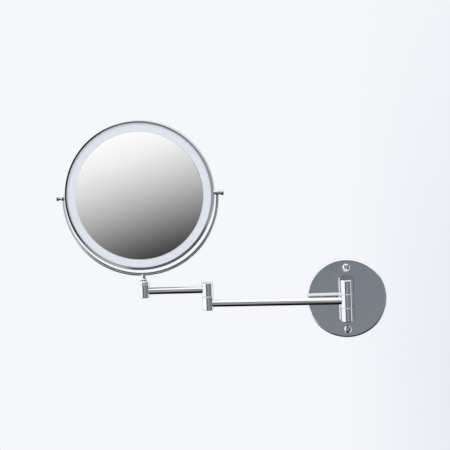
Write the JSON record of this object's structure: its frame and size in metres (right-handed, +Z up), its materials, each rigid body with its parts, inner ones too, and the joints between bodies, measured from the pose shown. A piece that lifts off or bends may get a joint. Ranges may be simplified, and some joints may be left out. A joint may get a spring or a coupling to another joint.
{
  "type": "wall shaving mirror",
  "caption": "Round lit shaving mirror in a half-ring yoke on a two-link swing arm, hinged to a round chrome wall plate.",
  "frame": {"origin": "centre of the wall plate's back face, in the plane of the wall", "axes": "+Y into the wall, +Z up, the arms reach towards -X and the mirror looks towards -Y at rest"},
  "size_m": [0.438, 0.0701, 0.3025],
  "materials": {
    "chrome": "polished chrome plate",
    "mirror_glass": "silvered glass",
    "frosted_diffuser": "satin opal acrylic",
    "white_moulding": "moulded, matt",
    "board": "white solder mask",
    "led_package": "yellow phosphor window",
    "cell_sleeve": "plain dark sleeve",
    "nickel_contact": "nickel plated",
    "zinc_steel": "bright zinc",
    "nylon": "natural nylon",
    "lead_sheath": "matt sheath",
    "switch_moulding": "matt black"
  },
  "bodies": {
    "wall": {"wall_plate": "chrome", "wall_screws": "chrome", "hinge_bracket": "chrome", "bracket_screws": "zinc_steel", "wall_hinge_pin": "zinc_steel", "lower_hinge_washer": "nylon"},
    "long_arm": {"long_arm_wall_knuckle": "chrome", "long_arm_elbow_knuckle": "chrome", "long_arm_tube": "chrome", "long_arm_plugs": "zinc_steel", "long_arm_studs": "zinc_steel", "upper_hinge_washer": "nylon", "elbow_washer": "nylon"},
    "short_arm": {"short_arm_elbow_knuckle": "chrome", "short_arm_end_knuckle": "chrome", "short_arm_tube": "chrome", "short_arm_plugs": "zinc_steel", "short_arm_studs": "zinc_steel", "elbow_screw": "zinc_steel", "elbow_spring_washer": "zinc_steel", "stem_washer": "nylon"},
    "yoke": {"yoke_ring": "chrome", "yoke_stem": "chrome", "stem_screw": "zinc_steel", "stem_spring_washer": "zinc_steel"},
    "head": {"head_band": "chrome", "light_ring": "frosted_diffuser", "front_mirror": "mirror_glass", "mirror_carrier": "white_moulding", "led_board": "board", "leds": "led_package", "battery_holder": "white_moulding", "cells": "cell_sleeve", "battery_contacts": "nickel_contact", "battery_leads": "lead_sheath", "rear_mirror": "mirror_glass", "rear_bezel": "chrome", "switch_body": "switch_moulding", "pivot_inserts": "zinc_steel", "pivot_studs": "zinc_steel", "pivot_spacers": "chrome", "pivot_washers": "nylon", "pivot_knobs": "chrome"},
    "button": {"power_button": "chrome"}
  },
  "joints": [
    {"name": "wall_swing", "type": "hinge", "parent": "wall", "child": "long_arm", "pos_m": [0, -0.026, 0], "axis": [0, 0, 1], "range_deg": [0, 184]},
    {"name": "elbow_swing", "type": "hinge", "parent": "long_arm", "child": "short_arm", "pos_m": [-0.18589, -0.01951, 0], "axis": [0, 0, 1], "continuous": true},
    {"name": "yoke_swivel", "type": "hinge", "parent": "short_arm", "child": "yoke", "pos_m": [-0.27189, -0.01951, 0.019], "axis": [0, 0, 1], "continuous": true},
    {"name": "head_tilt", "type": "hinge", "parent": "yoke", "child": "head", "pos_m": [-0.27189, -0.01951, 0.149], "axis": [0.9986, 0.0523, 0], "continuous": true},
    {"name": "power_press", "type": "slide", "parent": "head", "child": "button", "axis": [0.0523, -0.9986, 0], "range_m": [0, 0.0008], "stiffness_N_per_m": 400, "springref_m": -0.0015}
  ]
}
